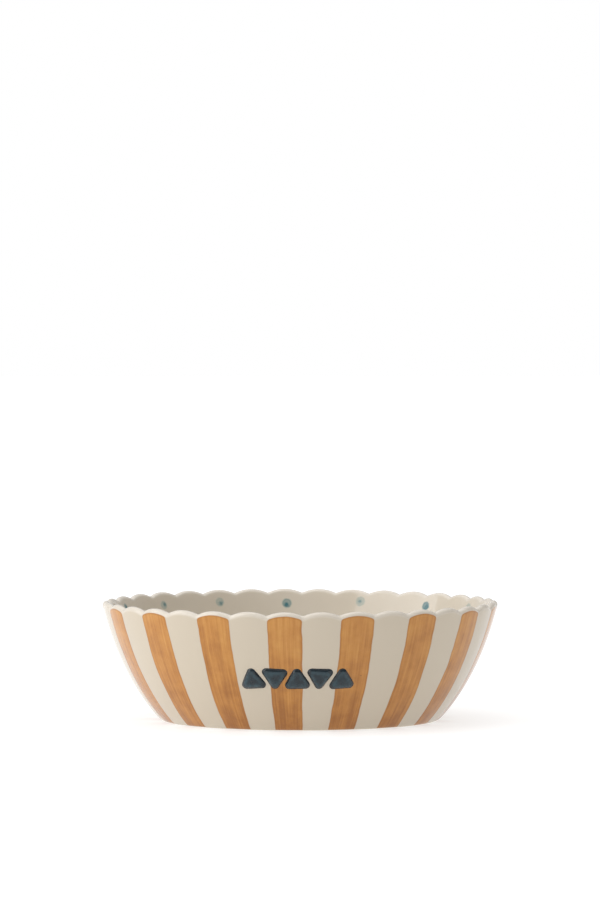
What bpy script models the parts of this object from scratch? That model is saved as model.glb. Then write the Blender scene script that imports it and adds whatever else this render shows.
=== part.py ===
"""Scalloped stoneware chip bowl with five raised chip-shaped motifs on its front.

Metres, +Z up. The origin is the centre of the plane that the foot rests on, and the front faces -Y.
The bowl is a turned shape whose lip is cut into lobes. Each motif is a rounded triangle laid on the wall.
"""

import math

import bmesh
import bpy
import numpy as np

MM = 0.001

# The outer wall in section: a quadratic curve from the base, towards the shoulder, to the top of a lobe.
BASE_RADIUS, BASE_HEIGHT = 70.5 * MM, 0.0
SHOULDER_RADIUS, SHOULDER_HEIGHT = 90.0 * MM, 20.0 * MM
LIP_RADIUS, LIP_HEIGHT = 99.9 * MM, 57.8 * MM
WALL = 4.0 * MM

# Inside, a fillet joins the flat floor to the wall at this share of the wall's curve.
FLOOR_HEIGHT = 5.5 * MM
FILLET_TOP = 0.2

# The foot is a flat ring under the wall, with the base recessed inside it.
FOOT_OUTER_RADIUS = 69.2 * MM
FOOT_INNER_RADIUS = 62.0 * MM
FOOT_RECESS = 1.5 * MM
FOOT_BEVEL = 1.2 * MM
CORNER_RADIUS, CORNER_HEIGHT = 70.8 * MM, 0.45 * MM
CORNER_TOP = 0.04

# The lobes of the lip. The first is centred just left of the front, and they are counted anticlockwise.
LOBES = 34
LOBE_DROP = 1.9 * MM
LOBE_RELIEF = 0.15 * MM
CUSP_SOFTNESS = 0.12
CREST_POWER = 0.8
FRONT = math.radians(-90)
FIRST_LOBE = FRONT + math.radians(-4.4)
# The lobes are evenly shared out at the front and are this far out of step by the back.
LOBE_DRIFT = math.radians(-1.5)

STEPS_PER_LOBE = 4
WALL_STEPS = 7
LIP_STEPS = 4
FILLET_STEPS = 4

# The motifs, in a row across the front.
MOTIFS = 5
MOTIF_PITCH = math.radians(7.15)
MOTIF_ROW_CENTRE = FRONT + math.radians(-0.9)
MOTIF_HEIGHT = 27.0 * MM
MOTIF_CORNER_REACH = 4.4 * MM
MOTIF_CORNER_RADIUS = 2.1 * MM
MOTIF_TILTS = [math.radians(a) for a in (4, -3, 2, -2, 3)]
MOTIF_GAP = 0.3 * MM
CORNER_STEPS = 4
# How far each ring of a motif stands off the wall, and its share of the outline's size, from the back
# round the edge to the front.
MOTIF_RINGS = [(0.3 * MM, 0.5), (0.3 * MM, 1.0), (1.0 * MM, 1.0), (1.5 * MM, 0.85), (1.7 * MM, 0.45)]
MOTIF_CROWN = 1.8 * MM

CREAM_GLAZE = (0.70, 0.62, 0.51, 1)
DARK_TEAL_GLAZE = (0.035, 0.055, 0.062, 1)


def quadratic(t, start, middle, end):
    """The quadratic Bezier curve through start and end, drawn towards middle."""
    return (1 - t) ** 2 * start + 2 * t * (1 - t) * middle + t ** 2 * end


def quadratic_slope(t, start, middle, end):
    """The derivative of quadratic() with respect to t."""
    return 2 * (1 - t) * (middle - start) + 2 * t * (end - middle)


def wall_point(t, depth):
    """Radius and height at t along the outer wall, moved inwards through the clay by depth."""
    radius = quadratic(t, BASE_RADIUS, SHOULDER_RADIUS, LIP_RADIUS)
    height = quadratic(t, BASE_HEIGHT, SHOULDER_HEIGHT, LIP_HEIGHT)
    angle = wall_angle(t)
    return radius - depth * np.sin(angle), height + depth * np.cos(angle)


def wall_angle(t):
    """The wall's slope above the horizontal at t."""
    return np.arctan2(
        quadratic_slope(t, BASE_HEIGHT, SHOULDER_HEIGHT, LIP_HEIGHT),
        quadratic_slope(t, BASE_RADIUS, SHOULDER_RADIUS, LIP_RADIUS),
    )


def lobe(turn):
    """1 on the crest of a lobe and 0 in the cusp between two, at a share of a turn from the first lobe."""
    wave = np.cos(turn * math.pi * LOBES)
    soft = np.sqrt(wave ** 2 + CUSP_SOFTNESS ** 2) - CUSP_SOFTNESS
    return (soft / (math.sqrt(1 + CUSP_SOFTNESS ** 2) - CUSP_SOFTNESS)) ** CREST_POWER


def bearing_at(turn):
    """The angle about +Z at a share of a turn from the first lobe, drifting smoothly to the back."""
    return FIRST_LOBE + turn * 2 * math.pi + LOBE_DRIFT * np.sin(turn * math.pi) ** 2


def scalloped(share, depth, turn):
    """A ring of wall points at a share of the way up, lowered and drawn in between the lobes."""
    between = 1 - lobe(turn)
    drop = LOBE_DROP / (2 * (LIP_HEIGHT - SHOULDER_HEIGHT))
    radius, height = wall_point(share - drop * between * share ** 3, depth)
    return radius - LOBE_RELIEF * between * share ** 8, height


def bowl_rings(turn):
    """The bowl's surface as rings, each a radius and a height, from under the base round to the floor."""
    level = np.ones_like(turn)
    rings = [
        ((FOOT_INNER_RADIUS - FOOT_BEVEL) * level, FOOT_RECESS * level),
        (FOOT_INNER_RADIUS * level, 0 * level),
        (FOOT_OUTER_RADIUS * level, 0 * level),
        (CORNER_RADIUS * level, CORNER_HEIGHT * level),
    ]
    for share in np.linspace(CORNER_TOP, 1, WALL_STEPS + 1):
        rings.append(scalloped(share, 0, turn))
    # The lip is a half circle about the middle of the wall, from its outer side over to its inner side.
    middle_radius, middle_height = scalloped(1, WALL / 2, turn)
    for facing in wall_angle(1) + np.linspace(0, math.pi, LIP_STEPS + 1)[1:-1]:
        rings.append((
            middle_radius + WALL / 2 * math.sin(facing),
            middle_height - WALL / 2 * math.cos(facing),
        ))
    for share in np.linspace(1, FILLET_TOP, WALL_STEPS):
        rings.append(scalloped(share, WALL, turn))
    # The fillet is an arc that leaves the wall at its slope and meets the floor level.
    foot_radius, foot_height = wall_point(FILLET_TOP, WALL)
    slope = wall_angle(FILLET_TOP)
    fillet = (foot_height - FLOOR_HEIGHT) / (1 - math.cos(slope))
    floor_radius = foot_radius - fillet * math.sin(slope)
    for facing in np.linspace(slope, 0, FILLET_STEPS + 1)[1:]:
        rings.append((
            (floor_radius + fillet * math.sin(facing)) * level,
            (FLOOR_HEIGHT + fillet * (1 - math.cos(facing))) * level,
        ))
    return rings


def glazed(name, colour):
    """A glossy glaze of one colour."""
    material = bpy.data.materials.new(name)
    material.use_nodes = True
    shader = material.node_tree.nodes["Principled BSDF"]
    shader.inputs["Base Color"].default_value = colour
    shader.inputs["Roughness"].default_value = 0.2
    shader.inputs["Metallic"].default_value = 0
    return material


def lathe_mesh(name, rings, start_cap, end_cap):
    """A closed mesh through rings of points. Each cap is a centre point, or None for a flat face."""
    form = bmesh.new()
    rows = [[form.verts.new(point) for point in ring] for ring in rings]
    for lower, upper in zip(rows, rows[1:]):
        for i in range(len(lower)):
            j = (i + 1) % len(lower)
            form.faces.new((lower[i], lower[j], upper[j], upper[i]))
    for row, cap in ((rows[0], start_cap), (rows[-1], end_cap)):
        if cap is None:
            form.faces.new(row)
        else:
            centre = form.verts.new(cap)
            for i in range(len(row)):
                form.faces.new((row[i], row[(i + 1) % len(row)], centre))
    bmesh.ops.recalc_face_normals(form, faces=form.faces)
    mesh = bpy.data.meshes.new(name)
    form.to_mesh(mesh)
    form.free()
    return mesh


def add_object(name, mesh, material, crease):
    """Links a smooth-shaded object whose edges sharper than crease stay sharp."""
    mesh.materials.append(material)
    mesh.shade_smooth()
    mesh.set_sharp_from_angle(angle=crease)
    made = bpy.data.objects.new(name, mesh)
    bpy.context.scene.collection.objects.link(made)
    return made


def make_bowl():
    """The bowl's body: wall, lip, floor and foot in one closed solid."""
    turn = np.arange(LOBES * STEPS_PER_LOBE) / (LOBES * STEPS_PER_LOBE)
    bearing = bearing_at(turn)
    rings = [
        np.stack([radius * np.cos(bearing), radius * np.sin(bearing), height], axis=1)
        for radius, height in bowl_rings(turn)
    ]
    mesh = lathe_mesh("bowl_body", rings, None, None)
    return add_object("bowl_body", mesh, glazed("cream_glaze", CREAM_GLAZE), math.radians(50))


def rounded_triangle():
    """The motif's outline about its middle, pointing up: an arc at each of three corners."""
    points = []
    for corner in range(3):
        facing = math.radians(90 + 120 * corner)
        for turn in np.radians(np.linspace(-60, 60, CORNER_STEPS + 1)):
            points.append((
                MOTIF_CORNER_REACH * math.cos(facing) + MOTIF_CORNER_RADIUS * math.cos(facing + turn),
                MOTIF_CORNER_REACH * math.sin(facing) + MOTIF_CORNER_RADIUS * math.sin(facing + turn),
            ))
    outline = np.array(points)
    outline[:, 1] -= MOTIF_CORNER_REACH / 4
    return outline


def share_at_height(height):
    """Where the outer wall's curve reaches a height, from the quadratic's root."""
    a = BASE_HEIGHT - 2 * SHOULDER_HEIGHT + LIP_HEIGHT
    b = 2 * (SHOULDER_HEIGHT - BASE_HEIGHT)
    return (-b + np.sqrt(b ** 2 + 4 * a * (height - BASE_HEIGHT))) / (2 * a)


def on_wall(across, up, facing, off):
    """Points across and up from a motif's middle, laid on the outer wall and off it by a distance."""
    middle = share_at_height(MOTIF_HEIGHT)
    share = share_at_height(MOTIF_HEIGHT + up * math.sin(wall_angle(middle)))
    radius, height = wall_point(share, -off)
    bearing = facing + across / wall_point(middle, 0)[0]
    return np.stack([radius * np.cos(bearing), radius * np.sin(bearing), height], axis=-1)


def make_motif(number, material):
    """One raised motif: rings of its outline from the back, round the rounded edge, to the crown."""
    tilt = MOTIF_TILTS[number] + math.pi * (number % 2)
    turned = rounded_triangle() @ np.array([
        [math.cos(tilt), math.sin(tilt)],
        [-math.sin(tilt), math.cos(tilt)],
    ])
    facing = MOTIF_ROW_CENTRE + (number - (MOTIFS - 1) / 2) * MOTIF_PITCH
    rings = [on_wall(size * turned[:, 0], size * turned[:, 1], facing, off) for off, size in MOTIF_RINGS]
    middle = np.zeros(1)
    back = on_wall(middle, middle, facing, MOTIF_GAP)[0]
    crown = on_wall(middle, middle, facing, MOTIF_CROWN)[0]
    name = f"chip_motif_{number + 1}"
    return add_object(name, lathe_mesh(name, rings, back, crown), material, math.radians(60))


for old in list(bpy.data.objects):
    bpy.data.objects.remove(old)

make_bowl()
teal = glazed("dark_teal_glaze", DARK_TEAL_GLAZE)
for motif in range(MOTIFS):
    make_motif(motif, teal)
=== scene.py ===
"""Looks of a scalloped, hand-painted stoneware chip bowl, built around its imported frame.

Metres, +Z up, and the front of the bowl faces -Y. The sections follow the making of the bowl: the turned
and painted body, the raised motifs, then the table it stands on, the light and the camera.
"""

import math

import bpy
import numpy as np
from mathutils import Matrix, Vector


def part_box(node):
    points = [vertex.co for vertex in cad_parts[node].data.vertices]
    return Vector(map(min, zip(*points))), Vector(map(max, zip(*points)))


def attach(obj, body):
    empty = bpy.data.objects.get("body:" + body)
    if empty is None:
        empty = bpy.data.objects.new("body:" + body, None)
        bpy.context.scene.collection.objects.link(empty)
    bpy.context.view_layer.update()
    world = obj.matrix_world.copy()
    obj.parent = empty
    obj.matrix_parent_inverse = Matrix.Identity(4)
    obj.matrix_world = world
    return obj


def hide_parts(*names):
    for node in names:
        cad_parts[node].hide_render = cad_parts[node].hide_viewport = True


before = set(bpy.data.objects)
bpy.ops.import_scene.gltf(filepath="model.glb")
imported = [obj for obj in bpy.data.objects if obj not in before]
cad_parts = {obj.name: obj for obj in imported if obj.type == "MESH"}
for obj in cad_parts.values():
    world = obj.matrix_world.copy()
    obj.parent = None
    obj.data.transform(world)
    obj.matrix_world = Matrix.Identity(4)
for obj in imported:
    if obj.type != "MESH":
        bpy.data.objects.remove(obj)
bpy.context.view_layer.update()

# ---- Bowl body ----
# One piece of cream stoneware, formed on a wheel and trimmed round the lip into 34 lobes. It is painted by
# hand under a clear gloss glaze: ochre stripes outside on every second lobe, and rings of blue-green dots
# inside. The ring that it stands on is wiped bare before firing.

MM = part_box("bowl_body")[1].z / 60.24  # the bowl stands 60.24 mm high, and sizes in mm follow the frame

BASE = (70.5, 0.0)  # radius and height where the wall starts
SHOULDER = (90.0, 20.0)  # the wall's curve is drawn towards this point
LIP = (99.9, 57.8)  # the wall's outer edge just under the lip, on the crest of a lobe
WALL = 4.0
FLOOR_HEIGHT = 5.5
FILLET_TOP = 0.2  # how far up the wall's curve the fillet to the floor reaches
FOOT_INNER, FOOT_OUTER = 62.0, 69.2
FOOT_RECESS = 1.5
FOOT_BEVEL = 1.8
CORNER_TOP = 0.04  # how far up the wall's curve the rounded bottom edge reaches

LOBES = 34
STRIPES = LOBES // 2
FRONT = -math.pi / 2
FIRST_LOBE = FRONT - math.radians(4.4)  # the middle lobe at the front, which carries a stripe
LOBE_DRIFT = -math.radians(1.5)  # how far out of step the lobes and stripes are by the back
LOBE_DROP = 1.9
LOBE_RELIEF = 0.15
CUSP_SOFTNESS = 0.10
COLUMNS = LOBES * 16
THROWN_RADIUS, THROWN_SPREAD = 68, 9  # where the rings left by throwing lie inside, and how widely
THROWN_SPACING, THROWN_HEIGHT = 4.3, 0.012


def quadratic(t, start, middle, end):
    """The curve from start to end drawn towards middle: (1-t)^2, 2t(1-t) and t^2 times the three."""
    return (1 - t) ** 2 * start + 2 * t * (1 - t) * middle + t ** 2 * end


def wall_slope(t):
    """The wall's angle above level at t: the direction of the quadratic's derivative."""
    run, rise = ((1 - t) * (SHOULDER[k] - BASE[k]) + t * (LIP[k] - SHOULDER[k]) for k in (0, 1))
    return np.arctan2(rise, run)


def wall_at(t, depth=0.0):
    """Radius and height at t on the outer wall, moved by depth into the clay along the wall's normal."""
    radius, height = (quadratic(t, BASE[k], SHOULDER[k], LIP[k]) for k in (0, 1))
    return radius - depth * np.sin(wall_slope(t)), height + depth * np.cos(wall_slope(t))


def slow_waves(angle, along, size, seed):
    """The unevenness that a hand leaves: waves of 2 to 9 periods round the bowl, each with a seeded phase
    and a seeded lean as it climbs, added up with the shorter ones smaller. size is about their height."""
    draw = np.random.default_rng(seed)
    total = 0
    for periods in range(2, 10):
        lean, phase = draw.uniform(-0.06, 0.06), draw.uniform(0, 2 * math.pi)
        total = total + np.cos(periods * angle + lean * along + phase) / periods
    return size * total


def lobe(turn):
    """1 on the crest of a lobe and 0 in the cusp between two: a cosine without its sign, its sharp valley
    softened by a square root and its crest broadened by a power. Some crests are a little higher."""
    wave = np.cos(turn * math.pi * LOBES)
    soft = np.sqrt(wave ** 2 + CUSP_SOFTNESS ** 2) - CUSP_SOFTNESS
    full = math.sqrt(1 + CUSP_SOFTNESS ** 2) - CUSP_SOFTNESS
    return (1 + slow_waves(turn * 2 * math.pi, 0, 0.04, seed=5)) * (soft / full) ** 0.8


def scalloped(share, depth, turn):
    """A row of the wall at a share of its curve. Towards the lip and between the lobes, the row sinks
    along the curve by up to LOBE_DROP and is pressed in by up to LOBE_RELIEF."""
    between = 1 - lobe(turn)
    sink = LOBE_DROP / (2 * (LIP[1] - SHOULDER[1]))
    radius, height = wall_at(share - sink * between * share ** 3, depth)
    return radius - LOBE_RELIEF * between * share ** 9, height


def bowl_section(turn):
    """The bowl's surface as rows of radius and height in mm, from the middle of the underside, out over
    the foot, up the wall, over the lip, down inside and in to the middle of the floor. Also returns the
    number of the first row of the lip and of the inner wall."""
    level = np.ones_like(turn)
    step = FOOT_INNER - FOOT_BEVEL
    rows = [(radius * level, FOOT_RECESS * level) for radius in np.linspace(6, step, 12)]
    for t in np.linspace(0.2, 1, 6):  # the step down to the foot is a soft S
        rows.append(((step + FOOT_BEVEL * t) * level, FOOT_RECESS * (1 - t * t * (3 - 2 * t)) * level))
    for radius in np.linspace(FOOT_INNER, FOOT_OUTER, 5)[1:]:
        rows.append((radius * level, 0 * level))
    corner_radius, corner_height = wall_at(CORNER_TOP)
    for t in np.linspace(0, 1, 7)[1:-1]:
        corner = quadratic(t, FOOT_OUTER, BASE[0], corner_radius), quadratic(t, 0, 0, corner_height)
        rows.append((corner[0] * level, corner[1] * level))
    for share in np.linspace(CORNER_TOP, 1, 46):
        rows.append(scalloped(share, 0, turn))
    # The lip is a half circle about the middle of the wall, from its outer side over to its inner side.
    lip_row = len(rows)
    middle_radius, middle_height = scalloped(1, WALL / 2, turn)
    for facing in wall_slope(1) + np.linspace(0, math.pi, 15)[1:-1]:
        across, up = WALL / 2 * math.sin(facing), -WALL / 2 * math.cos(facing)
        rows.append((middle_radius + across, middle_height + up))
    inner_row = len(rows)
    for share in np.linspace(1, FILLET_TOP, 42):
        rows.append(scalloped(share, WALL, turn))
    # The fillet is an arc that leaves the wall at its slope there and meets the floor level.
    slope = wall_slope(FILLET_TOP)
    foot_radius, foot_height = wall_at(FILLET_TOP, WALL)
    fillet = (foot_height - FLOOR_HEIGHT) / (1 - math.cos(slope))
    floor_radius = foot_radius - fillet * math.sin(slope)
    for facing in np.linspace(slope, 0, 12)[1:-1]:
        across, up = fillet * math.sin(facing), fillet * (1 - math.cos(facing))
        rows.append(((floor_radius + across) * level, (FLOOR_HEIGHT + up) * level))
    rows.extend((radius * level, FLOOR_HEIGHT * level) for radius in np.linspace(floor_radius, 3, 20))
    return np.array(rows), lip_row, inner_row


def around(angle, radius, height):
    """Points at an angle round the bowl's axis."""
    angle, radius, height = np.broadcast_arrays(angle, radius, height)
    return np.stack([radius * np.cos(angle), radius * np.sin(angle), height], axis=-1)


def grid_mesh(name, grid, first_middle, last_middle):
    """A smooth-shaded object from a grid of points in mm that closes round its columns, with a fan to a
    middle point at either end. Returns the object and, for each corner of each face, the number of its
    point, of its face and of its column. The corners of a face that crosses the seam count past it."""
    rows, columns = grid.shape[:2]
    here = np.arange(columns)
    row = np.arange(rows - 1)[:, None] * columns
    after = (here + 1) % columns
    quads = np.stack([row + here, row + after, row + columns + after, row + columns + here], axis=-1)
    first_fan = np.stack([after, here, np.full(columns, rows * columns)], axis=-1)
    last_fan = np.stack([here, after, np.full(columns, columns + 1)], axis=-1) + (rows - 1) * columns
    kinds = [quads.reshape(-1, 4), first_fan, last_fan]
    points = np.concatenate([grid.reshape(-1, 3), [first_middle, last_middle]])
    mesh = bpy.data.meshes.new(name)
    mesh.from_pydata((points * MM).tolist(), [], [face for kind in kinds for face in kind.tolist()])
    mesh.shade_smooth()
    made = bpy.data.objects.new(name, mesh)
    bpy.context.scene.collection.objects.link(made)

    corner = np.concatenate([kind.ravel() for kind in kinds])
    sizes = np.concatenate([np.full(len(kind), kind.shape[1]) for kind in kinds])
    face = np.repeat(np.arange(len(sizes)), sizes)
    first_column = np.concatenate([np.tile(here, rows - 1), here, here])[face]
    column = np.where(corner < rows * columns, corner % columns, first_column)
    column = column + columns * ((first_column == columns - 1) & (column == 0))
    return made, corner, face, column


def write_attribute(made, name, domain, vectors):
    """Stores a vector for each point or corner of an object's mesh, for its material to read."""
    attribute = made.data.attributes.new(name, "FLOAT_VECTOR", domain)
    attribute.data.foreach_set("vector", vectors.astype(np.float32).ravel())


# Rings of painted dots inside: the distance from the middle of the floor in mm along the clay, the number
# of dots, and the angle of the first in degrees.
DOT_RINGS = [
    (0, 1, 0),
    (13, 4, 37),
    (29, 8, 16),
    (45, 16, 12),
    (62, 16, 1),
    (76, 16, 13),
    (92, 16, 3),
    (105, 16, 14),
    (124, 16, 3),
]
DOT_STRAY_DEGREES, DOT_STRAY_MM = 1, 0.5
DOT_SEED = 3
NO_DOT = 99  # mm from any dot, so the paint of one never reaches there


def dot_frames(section, to_middle):
    """The middle of each painted dot, the directions round the bowl and up the clay there, and how much
    paint it holds from 0 to 1. The bowl's section is read at the dot's distance from the middle. Each dot
    is a little out of place."""
    draw = np.random.default_rng(DOT_SEED)
    count = np.array([ring[1] for ring in DOT_RINGS])
    number = np.concatenate([np.arange(n) for n in count])
    first = np.repeat([ring[2] for ring in DOT_RINGS], count)
    turned = draw.normal(0, DOT_STRAY_DEGREES, len(number))
    angle = np.radians(first + 360 * number / np.repeat(count, count) + turned)
    shifted = draw.normal(0, DOT_STRAY_MM, len(number))
    far = np.abs(np.repeat([ring[0] for ring in DOT_RINGS], count) + shifted)
    loaded = draw.uniform(0, 1, len(number))
    profile = np.vstack([section[:, :, 0], (0, FLOOR_HEIGHT)])[::-1]
    reached = np.append(to_middle, 0)[::-1]

    def on_clay(distance):
        radius, height = (np.interp(distance, reached, profile[:, k]) for k in (0, 1))
        return around(angle, radius, height)

    rise = on_clay(far + 0.5) - on_clay(far - 0.5)
    rise /= np.linalg.norm(rise, axis=1, keepdims=True)
    return on_clay(far), around(angle + math.pi / 2, 1, 0), rise, loaded


def make_bowl():
    """The bowl's mesh. Its UV map, lie, says where paint goes: U counts stripes round the bowl, and V is
    the distance in mm below the lip's outer edge, negative inside. The attribute brush is the same as a
    place in space, which has no seam. The attribute dot is each corner's way from the middle of the
    nearest dot, in mm round the bowl and up the clay, and how much paint the dot holds, from 0 to 1."""
    turn = np.arange(COLUMNS) / COLUMNS
    angle = FIRST_LOBE + turn * 2 * math.pi + LOBE_DRIFT * np.sin(turn * math.pi) ** 2
    section, lip_row, inner_row = bowl_section(turn)
    rows = len(section)
    step = np.linalg.norm(np.diff(section[:, :, 0], axis=0), axis=1)
    travelled = np.concatenate([[0], np.cumsum(step)])
    below_lip = travelled[lip_row - 1] - travelled
    to_middle = travelled[-1] + section[-1, 0, 0] - travelled
    places, rounds, rises, loaded = dot_frames(section, to_middle)

    # The wall and lip wander by tenths of a millimetre, and throwing rings circle the foot of the wall.
    risen = np.clip(section[:, 1] / LIP[1], 0, 1)
    section[:, 0] += slow_waves(angle, travelled[:, None], 0.12, seed=1) * risen
    section[:, 1] += slow_waves(angle, 0, 0.16, seed=2) * risen ** 3
    near_foot = np.exp(-((section[:, 0] - THROWN_RADIUS) / THROWN_SPREAD) ** 2)
    ringed = near_foot * np.sin(travelled[:, None] * 2 * math.pi / THROWN_SPACING + angle)
    section[inner_row:, 1] += THROWN_HEIGHT * ringed[inner_row:]

    grid = around(angle, section[:, 0], section[:, 1])
    ends = (0, 0, FOOT_RECESS), (0, 0, section[-1, 1].mean())
    bowl, corner, face, column = grid_mesh("bowl", grid, *ends)
    row = np.minimum(corner // COLUMNS, rows - 1)
    row[corner == rows * COLUMNS] = 0
    lie = np.stack([column / COLUMNS * STRIPES, below_lip[row]], axis=1)
    bowl.data.uv_layers.new(name="lie").data.foreach_set("uv", lie.astype(np.float32).ravel())
    stroke = around(angle, 88, np.repeat(below_lip[:, None], COLUMNS, axis=1)).reshape(-1, 3)
    stroke = np.concatenate([stroke, [(0, 0, below_lip[0]), (0, 0, below_lip[-1])]])
    write_attribute(bowl, "brush", "POINT", stroke)

    points = np.concatenate([grid.reshape(-1, 3), ends])
    middles = np.stack([np.bincount(face, points[corner, k]) for k in range(3)], axis=1)
    middles /= np.bincount(face)[:, None]
    nearest = (np.sum(places ** 2, axis=1) - 2 * middles @ places.T).argmin(axis=1)[face]
    way = points[corner] - places[nearest]
    across = np.sum(way * rounds[nearest], axis=1)
    up = np.sum(way * rises[nearest], axis=1)
    dot = np.stack([across, up, loaded[nearest]], axis=1)
    dot[row < inner_row - 2, :2] = NO_DOT
    write_attribute(bowl, "dot", "CORNER", dot)
    return bowl


def colour(text):
    """A linear colour from sRGB hex."""
    parts = np.array([int(text[i: i + 2], 16) / 255 for i in (1, 3, 5)])
    linear = np.where(parts <= 0.04045, parts / 12.92, ((parts + 0.055) / 1.055) ** 2.4)
    return (*linear.tolist(), 1)


def add(tree, kind, inputs=(), **settings):
    """Adds a shader node with its settings. Each input is set to a value, or linked from a socket or from
    another node's first live output."""
    made = tree.nodes.new("ShaderNode" + kind)
    for name, value in settings.items():
        setattr(made, name, value)
    for key, value in dict(inputs).items():
        if isinstance(value, bpy.types.Node):
            value = next(socket for socket in value.outputs if socket.enabled)
        if isinstance(value, bpy.types.NodeSocket):
            tree.links.new(value, made.inputs[key])
        else:
            made.inputs[key].default_value = value
    return made


def new_material(name):
    """An empty node material, and its tree."""
    material = bpy.data.materials.new(name)
    material.use_nodes = True
    material.node_tree.nodes.clear()
    return material, material.node_tree


CREAM = colour("#D6CDBF")
CREAM_DEEP = colour("#CEC3B1")
# Painted shade: the outer wall's cream, darker than the same glaze inside.
SHADED_OUTSIDE_CREAM = colour("#C5B9A6")
# Partly the clay under thin glaze, partly a painted highlight on the lip.
LIP_CREAM_AND_HIGHLIGHT = colour("#DAD3C9")
OCHRE = colour("#B77C38")
OCHRE_DARK = colour("#9B6227")
OCHRE_PALE = colour("#C89148")
PALE_WASH = colour("#93AFA6")
DEEP_WASH = colour("#4A757C")
IRON_SPECK = colour("#3A3028")
BARE_CLAY = colour("#D3C6B0")
STRIPE_HALF = 0.234  # of the distance between the middles of two stripes, at the lip
STRIPE_SPREAD = 0.0003  # more of it for each mm down the wall
STRIPE_PITCH = 33  # mm, halfway up the wall
STRIPE_TOP = -0.5  # mm below the lip's outer edge, so the brush reaches onto the lip
STRIPE_END = 68.0  # mm below it along the wall, just past the rounded bottom edge
DOT_RADIUS = 2.5


def painted_stoneware():
    """Clear gloss glaze over painted cream stoneware. Glaze has an IOR near 1.5 and a roughness near 0.05,
    and pools into shallow waves about 8 mm apart. The brush leaves streaks about 0.7 mm wide in the ochre,
    with a darker line where it ran at the edge. Each dot is one press of a small sponge: a pale disc with
    a darker ring and an off-centre spot."""
    material, tree = new_material("clear_glaze_over_painted_stoneware")
    lie = add(tree, "SeparateXYZ", {0: add(tree, "UVMap", uv_map="lie")})
    brush = add(tree, "Attribute", attribute_name="brush").outputs["Vector"]
    dot = add(tree, "Attribute", attribute_name="dot").outputs["Vector"]
    place = add(tree, "TexCoord").outputs["Object"]
    in_mm = add(tree, "VectorMath", {0: place, 3: 1 / MM}, operation="SCALE")

    # Cream: cloudy over 30 mm, with painted shade outside that makes the outer wall a shade deeper, and pale
    # on the lip, partly where the clay shows through thin glaze and partly a painted highlight from light
    # above.
    cloud = add(tree, "TexNoise", {"Vector": in_mm, "Scale": 1 / 30, "Detail": 3})
    cream = add(tree, "Mix", {0: cloud, 6: CREAM_DEEP, 7: CREAM}, data_type="RGBA")
    outside = add(tree, "MapRange", {0: lie.outputs[1], 1: -WALL, 2: 0}, interpolation_type="SMOOTHSTEP")
    cream = add(tree, "Mix", {0: outside, 6: cream, 7: SHADED_OUTSIDE_CREAM}, data_type="RGBA")
    from_lip = add(tree, "Math", {0: lie.outputs[1], 1: math.pi * WALL / 4}, operation="ADD")
    from_lip = add(tree, "Math", {0: from_lip}, operation="ABSOLUTE")
    lip_range = {0: from_lip, 1: 2.0, 2: 3.6, 3: 0.5, 4: 0}
    over_lip = add(tree, "MapRange", lip_range, interpolation_type="SMOOTHSTEP")
    cream = add(tree, "Mix", {0: over_lip, 6: cream, 7: LIP_CREAM_AND_HIGHLIGHT}, data_type="RGBA")

    # Ochre stripes: the distance in mm inside a stripe's edge, wandering as the hand did.
    wander = add(tree, "TexNoise", {"Vector": brush, "Scale": 1 / 18, "Detail": 3})
    wander = add(tree, "MapRange", {0: wander, 1: 0, 2: 1, 3: -0.9, 4: 0.9})
    turn = add(tree, "Math", {0: lie.outputs[0], 1: 0.5}, operation="ADD")
    turn = add(tree, "Math", {0: turn}, operation="FRACT")
    turn = add(tree, "Math", {0: turn, 1: 0.5}, operation="SUBTRACT")
    aside = add(tree, "Math", {0: turn}, operation="ABSOLUTE")
    half = add(tree, "Math", {0: lie.outputs[1], 1: STRIPE_SPREAD, 2: STRIPE_HALF}, operation="MULTIPLY_ADD")
    side = add(tree, "Math", {0: half, 1: aside}, operation="SUBTRACT")
    side = add(tree, "Math", {0: side, 1: STRIPE_PITCH, 2: wander}, operation="MULTIPLY_ADD")
    top = add(tree, "Math", {0: lie.outputs[1], 1: STRIPE_TOP}, operation="SUBTRACT")
    top = add(tree, "Math", {0: wander, 1: 0.5, 2: top}, operation="MULTIPLY_ADD")
    inside = add(tree, "Math", {0: side, 1: top, 2: 1.8}, operation="SMOOTH_MIN")
    end = add(tree, "Math", {0: STRIPE_END, 1: lie.outputs[1]}, operation="SUBTRACT")
    inside = add(tree, "Math", {0: inside, 1: end}, operation="MINIMUM")
    painted = add(tree, "MapRange", {0: inside, 1: -0.25, 2: 0.2}, interpolation_type="SMOOTHSTEP")

    # The brush's streaks run up the wall, so they are drawn out 30 times that way. The ochre grows darker
    # towards the foot, and is darker along the stripes' edges where the paint ran.
    drawn = add(tree, "VectorMath", {0: brush, 1: (1, 1, 1 / 30)}, operation="MULTIPLY")
    streak = add(tree, "TexNoise", {"Vector": drawn, "Scale": 1 / 1.4, "Detail": 3, "Roughness": 0.65})
    patch = add(tree, "TexNoise", {"Vector": brush, "Scale": 1 / 9, "Detail": 3, "Roughness": 0.6})
    tone = add(tree, "Mix", {0: 0.4, 2: streak, 3: patch}, data_type="FLOAT")
    tone = add(tree, "Math", {0: lie.outputs[1], 1: -0.0028, 2: tone}, operation="MULTIPLY_ADD")
    ochre = add(tree, "ValToRGB", {0: tone})
    ramp = ochre.color_ramp
    ramp.elements[0].position, ramp.elements[0].color = 0.25, OCHRE_DARK
    ramp.elements[1].position, ramp.elements[1].color = 0.65, OCHRE_PALE
    ramp.elements.new(0.45).color = OCHRE
    ran = add(tree, "Math", {0: wander, 1: 0.5, 2: inside}, operation="MULTIPLY_ADD")
    ran = add(tree, "MapRange", {0: ran, 1: 0, 2: 1.1, 3: 0.6, 4: 0}, interpolation_type="SMOOTHSTEP")
    ochre = add(tree, "Mix", {0: ran, 6: ochre, 7: OCHRE_DARK}, data_type="RGBA")
    striped = add(tree, "Mix", {0: painted, 6: cream, 7: ochre}, data_type="RGBA")

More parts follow.
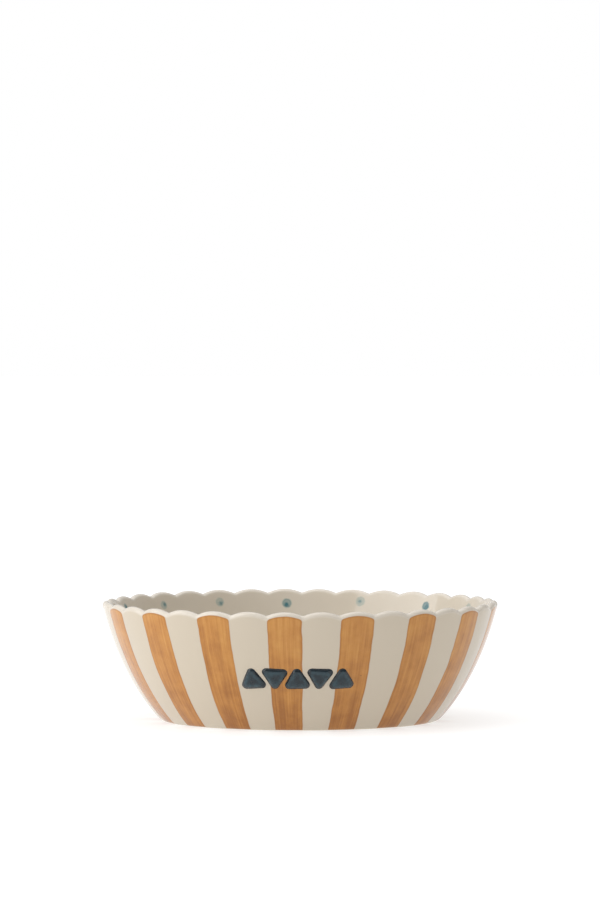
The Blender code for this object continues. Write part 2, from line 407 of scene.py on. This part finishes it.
    # Dots: a pale disc, a darker ring where the sponge's edge pressed, and an off-centre spot. A dot that
    # holds much paint is nearly solid.
    own = add(tree, "SeparateXYZ", {0: dot})
    chance = add(tree, "TexWhiteNoise", {"W": own.outputs[2]}, noise_dimensions="1D")
    flat = add(tree, "VectorMath", {0: dot, 1: (1, 1, 0)}, operation="MULTIPLY")
    ragged = add(tree, "TexNoise", {"Vector": in_mm, "Scale": 1 / 1.5, "Detail": 2})
    ragged = add(tree, "MapRange", {0: ragged, 1: 0, 2: 1, 3: -0.4, 4: 0.4})
    reach = add(tree, "VectorMath", {0: flat}, operation="LENGTH")
    reach = add(tree, "Math", {0: reach.outputs["Value"], 1: ragged}, operation="ADD")
    size = add(tree, "MapRange", {0: chance, 3: DOT_RADIUS - 0.2, 4: DOT_RADIUS + 0.3})
    within = add(tree, "Math", {0: size, 1: reach}, operation="SUBTRACT")
    disc = add(tree, "MapRange", {0: within, 1: -0.5, 2: 0.5}, interpolation_type="SMOOTHSTEP")
    ring = add(tree, "Math", {0: within, 1: 0.7}, operation="SUBTRACT")
    ring = add(tree, "Math", {0: ring}, operation="ABSOLUTE")
    ring = add(tree, "MapRange", {0: ring, 1: 0, 2: 1.0, 3: 0.12, 4: 0}, interpolation_type="SMOOTHSTEP")
    offset = add(tree, "VectorMath", {0: chance.outputs["Color"], 1: (0.5, 0.5, 0)}, operation="SUBTRACT")
    offset = add(tree, "VectorMath", {0: offset, 1: (1.5, 1.5, 0)}, operation="MULTIPLY")
    spot = add(tree, "VectorMath", {0: flat, 1: offset}, operation="DISTANCE")
    spot = add(tree, "Math", {0: ragged, 1: 1.0, 2: spot.outputs["Value"]}, operation="MULTIPLY_ADD")
    spot = add(tree, "MapRange", {0: spot, 1: 0.1, 2: 1.9, 3: 0.55, 4: 0}, interpolation_type="SMOOTHSTEP")
    load = add(tree, "MapRange", {0: own.outputs[2], 1: 0.5, 2: 0.9, 3: 0.34, 4: 0.8})
    wash = add(tree, "Math", {0: load, 1: ring}, operation="ADD")
    wash = add(tree, "Math", {0: wash, 1: spot}, operation="ADD")
    wash = add(tree, "Math", {0: wash, 1: disc}, operation="MULTIPLY", use_clamp=True)
    teal = add(tree, "Mix", {0: wash, 6: PALE_WASH, 7: DEEP_WASH}, data_type="RGBA")
    dotted = add(tree, "Mix", {0: wash, 6: striped, 7: teal}, data_type="RGBA")

    # A few specks of iron burn through the clay, each under half a millimetre.
    grains = add(tree, "TexVoronoi", {"Vector": in_mm, "Scale": 1 / 5})
    grain = add(tree, "SeparateColor", {0: grains.outputs["Color"]})
    chosen = add(tree, "Math", {0: grain.outputs[0], 1: 0.985}, operation="GREATER_THAN")
    speck = add(tree, "MapRange", {0: grains.outputs["Distance"], 1: 0.03, 2: 0.08, 3: 0.75, 4: 0})
    speck = add(tree, "Math", {0: speck, 1: chosen}, operation="MULTIPLY")
    specked = add(tree, "Mix", {0: speck, 6: dotted, 7: IRON_SPECK}, data_type="RGBA")

    # The foot ring is bare, matt clay: everything outside that lies within 0.35 mm of the table.
    low = add(tree, "SeparateXYZ", {0: in_mm})
    edge = add(tree, "Math", {0: wander, 1: 0.15, 2: low.outputs[2]}, operation="MULTIPLY_ADD")
    bare = add(tree, "MapRange", {0: edge, 1: 0.25, 2: 0.4, 3: 1, 4: 0}, interpolation_type="SMOOTHSTEP")
    surface = add(tree, "Mix", {0: bare, 6: specked, 7: BARE_CLAY}, data_type="RGBA")
    gloss = add(tree, "MapRange", {0: cloud, 3: 0.03, 4: 0.09})
    rough = add(tree, "Mix", {0: bare, 2: gloss, 3: 0.85}, data_type="FLOAT")

    # Height of the surface in mm: pooled glaze, fine orange peel, and the paint's own thickness.
    pools = add(tree, "TexNoise", {"Vector": in_mm, "Scale": 1 / 8, "Detail": 1})
    peel = add(tree, "TexNoise", {"Vector": in_mm, "Scale": 1 / 1.6, "Detail": 1})
    relief = add(tree, "Math", {0: pools, 1: 0.08}, operation="MULTIPLY")
    relief = add(tree, "Math", {0: peel, 1: 0.004, 2: relief}, operation="MULTIPLY_ADD")
    relief = add(tree, "Math", {0: painted, 1: 0.02, 2: relief}, operation="MULTIPLY_ADD")
    bump = add(tree, "Bump", {"Height": relief, "Distance": MM, "Strength": 1})
    glazed = {"Base Color": surface, "Roughness": rough, "IOR": 1.5, "Normal": bump}
    shader = add(tree, "BsdfPrincipled", glazed)
    add(tree, "OutputMaterial", {0: shader})
    return material


bowl = make_bowl()
bowl.data.materials.append(painted_stoneware())
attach(bowl, "root")
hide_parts("bowl_body")

# ---- Raised motifs ----
# Five pads of clay pressed on in a row across the front and brushed with a dark teal gloss glaze. Each is
# a rounded triangle like a chip, pointing up and down by turns, with soft edges and a slightly domed face.

MOTIFS = 5
MOTIF_PITCH = math.radians(7.15)
MOTIF_ROW_MIDDLE = FRONT - math.radians(0.9)
MOTIF_HEIGHT = 27.0
CORNER_REACH, CORNER_RADIUS = 4.4, 2.1
MOTIF_TILTS = (4, -3, 2, -2, 3)  # degrees, as a hand sets them
MOTIF_THICKNESS = 1.8


def rounded_triangle(steps):
    """The outline in mm about its middle, pointing up: a disc carried to each corner of a triangle, its
    outer arcs joined by straight sides, then divided evenly along its length."""
    turn = np.radians(np.linspace(-60, 60, 9))
    facing = np.radians([90, 210, 330])[:, None]
    across = (CORNER_REACH * np.cos(facing) + CORNER_RADIUS * np.cos(facing + turn)).ravel()
    up = (CORNER_REACH * np.sin(facing) + CORNER_RADIUS * np.sin(facing + turn)).ravel() - CORNER_REACH / 4
    across, up = np.append(across, across[0]), np.append(up, up[0])
    run = np.concatenate([[0], np.cumsum(np.hypot(np.diff(across), np.diff(up)))])
    even = np.linspace(0, run[-1], steps, endpoint=False)
    return np.interp(even, run, across), np.interp(even, run, up)


def share_at(height):
    """Where the outer wall's curve reaches a height: the root of its quadratic."""
    square = BASE[1] - 2 * SHOULDER[1] + LIP[1]
    half = SHOULDER[1] - BASE[1]
    return (np.sqrt(half ** 2 + square * height) - half) / square


def make_motif(number):
    """One raised motif, from the middle of its back, which is sunk 0.3 mm into the wall, out to a small
    flare of pooled glaze, up its side and in over its face. Its thickness at a share p of the outline is
    1 - p^2 to the power 0.6, which gives a domed, round-shouldered pad laid on the wall's curve."""
    rim = np.cos(np.linspace(0.12, math.pi / 2, 22)[:-1])
    size = np.concatenate([[0.5, 1.06, 1.06, 1.02], rim])
    off = np.concatenate([[-0.3, -0.3, 0.02, 0.12], MOTIF_THICKNESS * (1 - rim ** 2) ** 0.6])
    across, up = rounded_triangle(96)
    tilt = math.radians(MOTIF_TILTS[number] + 180 * (number % 2))
    across, up = across * math.cos(tilt) - up * math.sin(tilt), across * math.sin(tilt) + up * math.cos(tilt)
    size, off = np.append(size, 0)[:, None], np.append(off, MOTIF_THICKNESS)[:, None]
    across, up = size * across, size * up
    uneven = 1 + 0.05 * np.sin(across * 0.9 + number) * np.cos(up * 0.8 + 2 * number)
    middle = share_at(MOTIF_HEIGHT)
    radius, height = wall_at(share_at(MOTIF_HEIGHT + up * math.sin(wall_slope(middle))), -off * uneven)
    facing = MOTIF_ROW_MIDDLE + (number - (MOTIFS - 1) / 2) * MOTIF_PITCH
    points = around(facing + across / wall_at(middle)[0], radius, height)
    back = around(facing, *wall_at(middle, 0.3))
    motif, corner, _, _ = grid_mesh(f"chip_{number + 1}", points[:-1], back, points[-1].mean(axis=0))
    rise = np.append(np.repeat((off / MOTIF_THICKNESS)[:-1], points.shape[1]), [0, 1])
    write_attribute(motif, "rise", "POINT", np.repeat(rise[:, None], 3, axis=1))
    return motif


def dark_teal_glaze():
    """Coloured gloss glaze, brushed on thickly: nearly black where it pools, and a lighter teal where it
    runs thin over a pad's shoulders. It is as smooth as the clear glaze, with brush waves 2 mm apart."""
    material, tree = new_material("dark_teal_gloss_glaze")
    rise = add(tree, "Attribute", attribute_name="rise").outputs["Fac"]
    place = add(tree, "TexCoord").outputs["Object"]
    in_mm = add(tree, "VectorMath", {0: place, 3: 1 / MM}, operation="SCALE")
    pool = add(tree, "TexNoise", {"Vector": in_mm, "Scale": 1 / 2.2, "Detail": 2})
    thin = add(tree, "Math", {0: rise, 1: 0.7}, operation="SUBTRACT")
    thin = add(tree, "Math", {0: thin}, operation="ABSOLUTE")
    thin = add(tree, "MapRange", {0: thin, 1: 0, 2: 0.45, 3: 0.3, 4: 0}, interpolation_type="SMOOTHSTEP")
    thin = add(tree, "Math", {0: pool, 1: 0.6, 2: thin}, operation="MULTIPLY_ADD")
    base = add(tree, "ValToRGB", {0: thin})
    base.color_ramp.elements[0].position, base.color_ramp.elements[0].color = 0.2, colour("#0E161D")
    base.color_ramp.elements[1].position, base.color_ramp.elements[1].color = 0.8, colour("#2C4750")
    base.color_ramp.elements.new(0.45).color = colour("#15262E")
    bump = add(tree, "Bump", {"Height": pool, "Distance": 0.2 * MM, "Strength": 1})
    shader = add(tree, "BsdfPrincipled", {"Base Color": base, "Roughness": 0.07, "IOR": 1.48, "Normal": bump})
    add(tree, "OutputMaterial", {0: shader})
    return material


teal = dark_teal_glaze()
for number in range(MOTIFS):
    motif = make_motif(number)
    motif.data.materials.append(teal)
    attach(motif, "root")
    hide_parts(f"chip_motif_{number + 1}")

# ---- Table, light and camera ----
# The bowl stands on a wide white light table in a pale studio whose walls are darker to the front right. A
# softbox on the left shapes it, and one overhead shines in the glaze. None of this is part of the bowl.

TABLE_RADIUS = 9.0
STUDIO_LEFT, STUDIO_RIGHT, STUDIO_CEILING = 0.66, 0.26, 1.2  # brightness
DARKEST_WAY = (0.85, -0.53, 0)  # the front right
bpy.ops.mesh.primitive_circle_add(vertices=96, radius=TABLE_RADIUS, fill_type="NGON")
table = bpy.context.object
table.name = "table"
white, tree = new_material("lit_white_acrylic_table")
lit = {
    "Base Color": (0.45, 0.45, 0.45, 1),
    "Roughness": 0.6,
    "Emission Color": (1, 1, 1, 1),
    "Emission Strength": 0.62,
}
add(tree, "OutputMaterial", {0: add(tree, "BsdfPrincipled", lit)})
table.data.materials.append(white)

world = bpy.data.worlds.new("studio")
bpy.context.scene.world = world
world.use_nodes = True
tree = world.node_tree
tree.nodes.clear()
way = add(tree, "TexCoord").outputs["Generated"]
direction = add(tree, "SeparateXYZ", {0: way})
towards = add(tree, "VectorMath", {0: way, 1: DARKEST_WAY}, operation="DOT_PRODUCT")
wall_range = {0: towards.outputs["Value"], 1: -1, 2: 1, 3: STUDIO_LEFT, 4: STUDIO_RIGHT}
wall = add(tree, "MapRange", wall_range)
ceiling = add(tree, "MapRange", {0: direction.outputs[2], 1: 0.55, 2: 0.75})
studio = add(tree, "Mix", {0: ceiling, 2: wall, 3: STUDIO_CEILING}, data_type="FLOAT")
above = add(tree, "MapRange", {0: direction.outputs[2], 1: 0.06, 2: 0.12})
level = add(tree, "Mix", {0: above, 2: 1.0, 3: studio}, data_type="FLOAT")
add(tree, "OutputWorld", {0: add(tree, "Background", {0: (1, 1, 1, 1), 1: level})})


def add_softbox(name, place, width, watts):
    """A square area light at a place in metres that faces the bowl."""
    light = bpy.data.lights.new(name, "AREA")
    light.size, light.energy = width, watts
    lamp = bpy.data.objects.new(name, light)
    lamp.location = place
    lamp.rotation_euler = (-lamp.location).to_track_quat("-Z", "Y").to_euler()
    bpy.context.scene.collection.objects.link(lamp)


add_softbox("left_softbox", (-1.5, -0.5, 0.8), 1.8, 18)
add_softbox("overhead_softbox", (-0.04, 0.14, 1.4), 0.4, 0.9)

CAMERA_DISTANCE, CAMERA_HEIGHT = 2.76, 0.227
FRAME_HEIGHT = 0.4557  # of the view, at the bowl
BOWL_BELOW_MIDDLE = 0.1065  # how far below the middle of the view the middle of the bowl lies
camera = bpy.data.objects.new("camera", bpy.data.cameras.new("camera"))
camera.location = (0, -CAMERA_DISTANCE, CAMERA_HEIGHT)
aim = Vector((0, 0, 30 * MM + BOWL_BELOW_MIDDLE)) - camera.location
camera.rotation_euler = aim.to_track_quat("-Z", "Y").to_euler()
camera.data.lens = camera.data.sensor_width * aim.length / FRAME_HEIGHT
camera.data.clip_end = 50
bpy.context.scene.collection.objects.link(camera)
bpy.context.scene.camera = camera
bpy.context.scene.view_settings.view_transform = "Standard"
